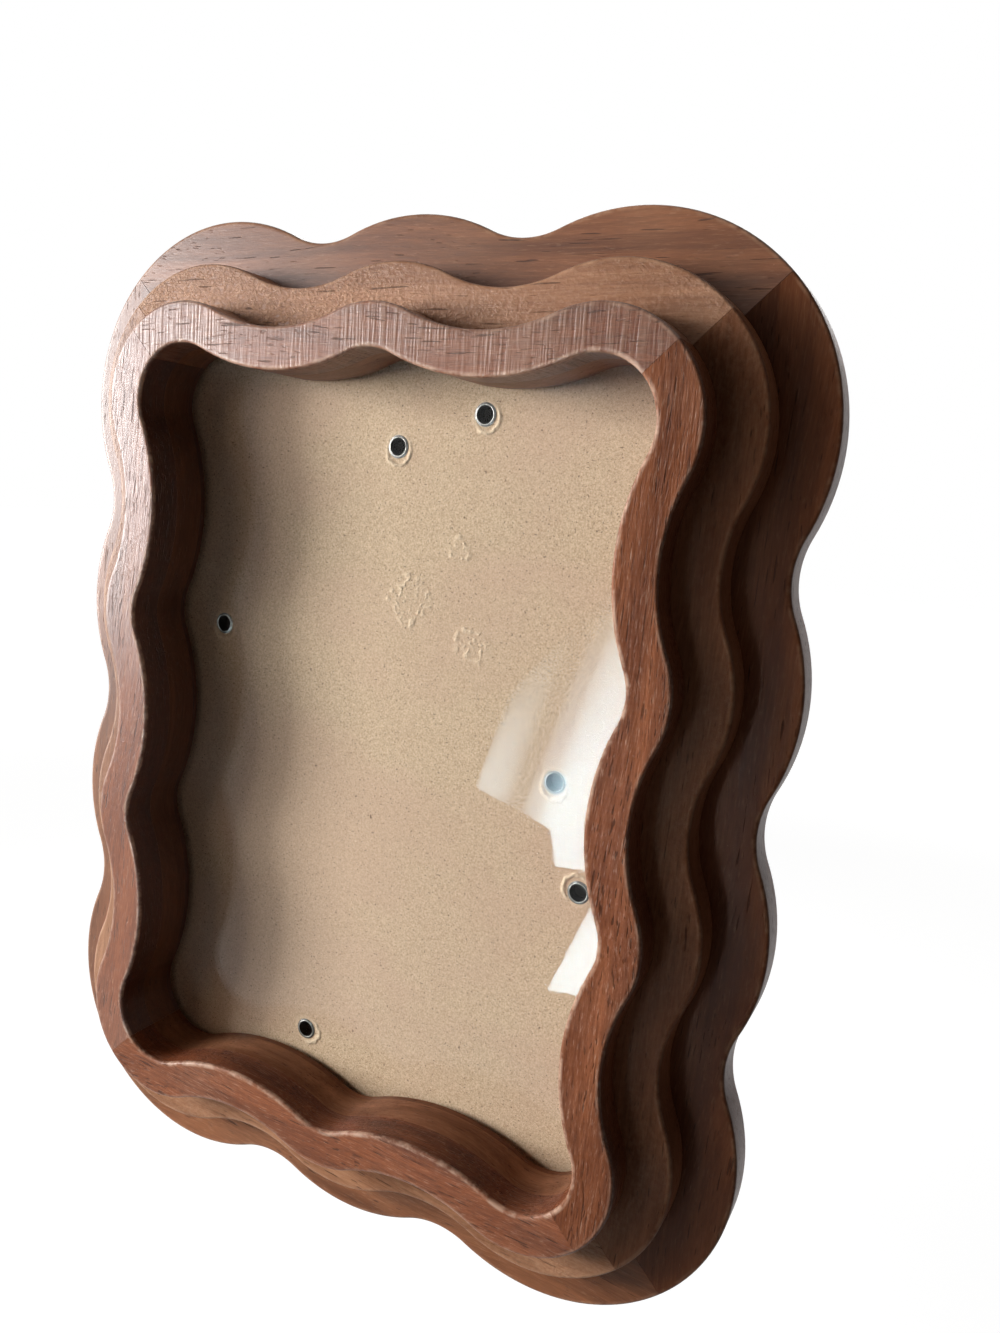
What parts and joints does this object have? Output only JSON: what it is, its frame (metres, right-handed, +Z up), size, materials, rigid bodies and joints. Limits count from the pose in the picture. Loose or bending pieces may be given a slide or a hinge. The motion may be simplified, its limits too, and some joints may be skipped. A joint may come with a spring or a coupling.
{
  "type": "picture frame",
  "caption": "Scalloped wooden picture frame in stepped wavy tiers with mitred rails, a glass pane and a riveted fibreboard back with swivel clips and ring hangers.",
  "frame": {"origin": "middle of the whole frame's box: on the upright middle line, half way up, half way through the depth", "axes": "+Z up the frame's long side as it hangs upright, +X to the right seen from the front, -Y out of the front, +Y towards the wall"},
  "size_m": [0.1792, 0.0234, 0.2276],
  "materials": {
    "front_wood": "sawn and lightly oiled, with a pale rub along the edges",
    "middle_wood": "sanded dry face with fine pits",
    "base_wood": "smooth oiled brown",
    "glass": "clear and glossy",
    "board": "bare tan fibreboard",
    "nickel": "nickel plated",
    "zinc": "zinc plated sheet"
  },
  "bodies": {
    "frame": {"front_rail_top": "front_wood", "front_rail_right": "front_wood", "front_rail_bottom": "front_wood", "front_rail_left": "front_wood", "middle_rail_top": "middle_wood", "middle_rail_right": "middle_wood", "middle_rail_bottom": "middle_wood", "middle_rail_left": "middle_wood", "base_rail_top": "base_wood", "base_rail_right": "base_wood", "base_rail_bottom": "base_wood", "base_rail_left": "base_wood", "corner_angle_top_right": "zinc", "corner_angle_top_left": "zinc", "corner_angle_bottom_left": "zinc", "corner_angle_bottom_right": "zinc"},
    "pane": {"glass_pane": "glass"},
    "back": {"backing_board": "board", "clip_rivet_top": "nickel", "clip_rivet_right": "nickel", "clip_rivet_bottom": "nickel", "clip_rivet_left": "nickel", "hanger_strap_top": "zinc", "hanger_rivet_top": "nickel", "hanger_strap_side": "zinc", "hanger_rivet_side": "nickel"},
    "clip_top": {"swivel_clip_top": "zinc"},
    "clip_right": {"swivel_clip_right": "zinc"},
    "clip_bottom": {"swivel_clip_bottom": "zinc"},
    "clip_left": {"swivel_clip_left": "zinc"},
    "ring_top": {"hanger_ring_top": "nickel"},
    "ring_side": {"hanger_ring_side": "nickel"}
  },
  "joints": [
    {"name": "back_lift", "type": "slide", "parent": "frame", "child": "back", "axis": [0, 1, 0], "range_m": [0, 0.04]},
    {"name": "pane_lift", "type": "slide", "parent": "frame", "child": "pane", "axis": [0, 1, 0], "range_m": [0, 0.02]},
    {"name": "clip_top_turn", "type": "hinge", "parent": "back", "child": "clip_top", "pos_m": [0.0176, 0.0095, 0.0746], "axis": [0, -1, 0], "range_deg": [0, 90]},
    {"name": "clip_right_turn", "type": "hinge", "parent": "back", "child": "clip_right", "pos_m": [0.0491, 0.0095, -0.0218], "axis": [0, -1, 0], "range_deg": [0, 90]},
    {"name": "clip_bottom_turn", "type": "hinge", "parent": "back", "child": "clip_bottom", "pos_m": [-0.0176, 0.0095, -0.0746], "axis": [0, -1, 0], "range_deg": [0, 90]},
    {"name": "clip_left_turn", "type": "hinge", "parent": "back", "child": "clip_left", "pos_m": [-0.0491, 0.0095, 0.0218], "axis": [0, -1, 0], "range_deg": [0, 90]},
    {"name": "ring_top_swing", "type": "hinge", "parent": "back", "child": "ring_top", "pos_m": [-0.003, 0.01045, 0.0733], "axis": [-1, 0, 0], "range_deg": [0, 180]},
    {"name": "ring_side_swing", "type": "hinge", "parent": "back", "child": "ring_side", "pos_m": [0.0478, 0.01045, 0.0005], "axis": [0, 0, 1], "range_deg": [0, 180]}
  ],
  "couplings": [
    {"joint": "pane_lift", "follows": "back_lift", "ratio": 0.5}
  ]
}
